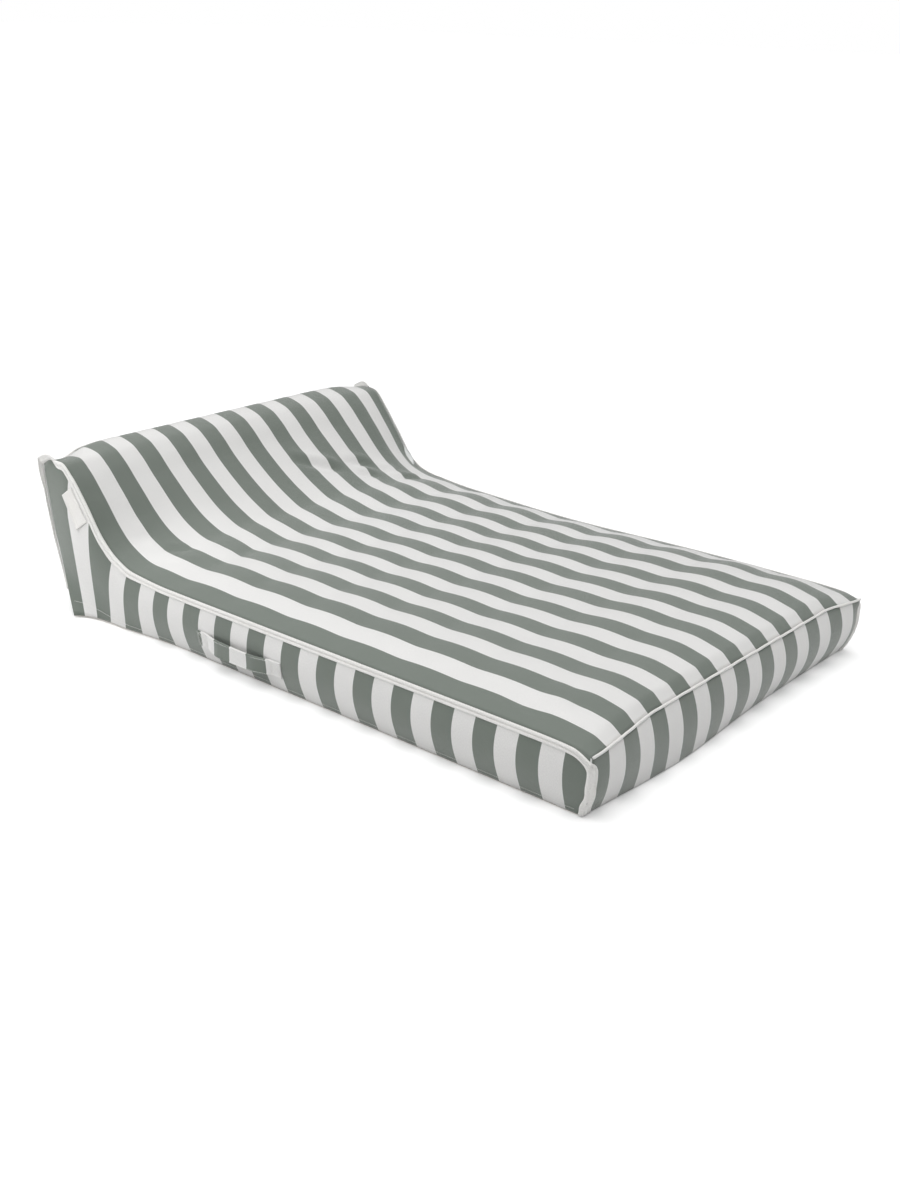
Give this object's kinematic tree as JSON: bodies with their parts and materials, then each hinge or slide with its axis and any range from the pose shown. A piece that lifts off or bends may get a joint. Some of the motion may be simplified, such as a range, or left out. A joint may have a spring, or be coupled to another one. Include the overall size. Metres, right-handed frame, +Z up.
{
  "type": "inflatable pool float",
  "caption": "Wide inflatable pool lounger with a raised headrest, in a zipped striped fabric cover with piped seams and side carry straps.",
  "frame": {"origin": "on the floor under the middle of the lounger's overall box", "axes": "+Y towards the headrest, +Z up, +X to the right as seen from the foot end"},
  "size_m": [1.1964, 1.7293, 0.3876],
  "materials": {
    "cover_fabric": "matt woven polyester in equal sage and off-white stripes",
    "trim_fabric": "matt off-white woven trim",
    "underside_fabric": "matt cream open weave",
    "bladder_film": "milky flexible film",
    "valve_plastic": "smooth moulded plastic",
    "soft_plastic": "soft flexible plastic",
    "zip_plastic": "satin moulded coil",
    "zip_metal": "satin coated zinc"
  },
  "bodies": {
    "float": {"cover_top_panel": "cover_fabric", "cover_side_left": "cover_fabric", "cover_side_right": "cover_fabric", "cover_foot_panel": "cover_fabric", "cover_back_upper": "cover_fabric", "cover_back_lower": "cover_fabric", "cover_bottom_panel": "underside_fabric", "seam_band_left": "trim_fabric", "seam_band_right": "trim_fabric", "corner_band_foot_left": "trim_fabric", "corner_band_foot_right": "trim_fabric", "corner_band_head_left": "trim_fabric", "corner_band_head_right": "trim_fabric", "piping_foot": "trim_fabric", "piping_crest": "trim_fabric", "handle_left": "cover_fabric", "handle_right": "cover_fabric", "side_label": "trim_fabric", "zip_tape_lower": "trim_fabric", "zip_tape_upper": "trim_fabric", "zip_coil_lower": "zip_plastic", "zip_coil_upper": "zip_plastic", "zip_stop_left": "zip_metal", "zip_stop_right": "zip_metal", "zip_end_tab_left": "cover_fabric", "zip_end_tab_right": "cover_fabric", "main_port_ring": "trim_fabric", "headrest_port_ring": "trim_fabric", "main_valve_base": "valve_plastic", "headrest_valve_base": "valve_plastic", "mattress_bladder": "bladder_film", "headrest_bladder": "bladder_film", "mattress_web_1": "bladder_film", "mattress_web_2": "bladder_film", "mattress_web_3": "bladder_film", "mattress_web_4": "bladder_film", "mattress_web_5": "bladder_film", "mattress_web_6": "bladder_film", "mattress_web_7": "bladder_film", "headrest_web_front": "bladder_film", "headrest_web_rear": "bladder_film"},
    "zip_slider": {"zip_slider": "zip_metal"},
    "zip_pull": {"zip_pull": "zip_metal"},
    "main_valve_plug": {"main_valve_plug": "valve_plastic"},
    "main_valve_stopper": {"main_valve_stopper": "soft_plastic"},
    "main_valve_flap": {"main_valve_flap": "soft_plastic"},
    "headrest_valve_plug": {"headrest_valve_plug": "valve_plastic"},
    "headrest_valve_stopper": {"headrest_valve_stopper": "soft_plastic"},
    "headrest_valve_flap": {"headrest_valve_flap": "soft_plastic"}
  },
  "joints": [
    {"name": "zip_slide", "type": "slide", "parent": "float", "child": "zip_slider", "axis": [-1, 0, 0], "range_m": [0, 0.97]},
    {"name": "zip_pull_hinge", "type": "hinge", "parent": "zip_slider", "child": "zip_pull", "pos_m": [0.485, 0.80699, 0.17207], "axis": [0, -0.3028, -0.953], "range_deg": [0, 180]},
    {"name": "main_plug_hinge", "type": "hinge", "parent": "float", "child": "main_valve_plug", "pos_m": [0.22219, 0.78098, 0.08228], "axis": [0, 0.3028, 0.953], "range_deg": [0, 150]},
    {"name": "main_stopper_hinge", "type": "hinge", "parent": "main_valve_plug", "child": "main_valve_stopper", "pos_m": [0.26149, 0.78603, 0.08068], "axis": [0, -0.3028, -0.953], "range_deg": [0, 150]},
    {"name": "main_flap_hinge", "type": "hinge", "parent": "main_valve_plug", "child": "main_valve_flap", "pos_m": [0.23349, 0.77936, 0.08279], "axis": [0, -0.3028, -0.953], "range_deg": [0, 35], "stiffness_Nm_per_rad": 0.001},
    {"name": "headrest_plug_hinge", "type": "hinge", "parent": "float", "child": "headrest_valve_plug", "pos_m": [-0.27206, 0.84197, 0.27275], "axis": [0, 0.3071, 0.9517], "range_deg": [0, 150]},
    {"name": "headrest_stopper_hinge", "type": "hinge", "parent": "headrest_valve_plug", "child": "headrest_valve_stopper", "pos_m": [-0.23276, 0.84701, 0.27112], "axis": [0, -0.3071, -0.9517], "range_deg": [0, 150]},
    {"name": "headrest_flap_hinge", "type": "hinge", "parent": "headrest_valve_plug", "child": "headrest_valve_flap", "pos_m": [-0.26076, 0.84035, 0.27327], "axis": [0, -0.3071, -0.9517], "range_deg": [0, 35], "stiffness_Nm_per_rad": 0.001}
  ]
}
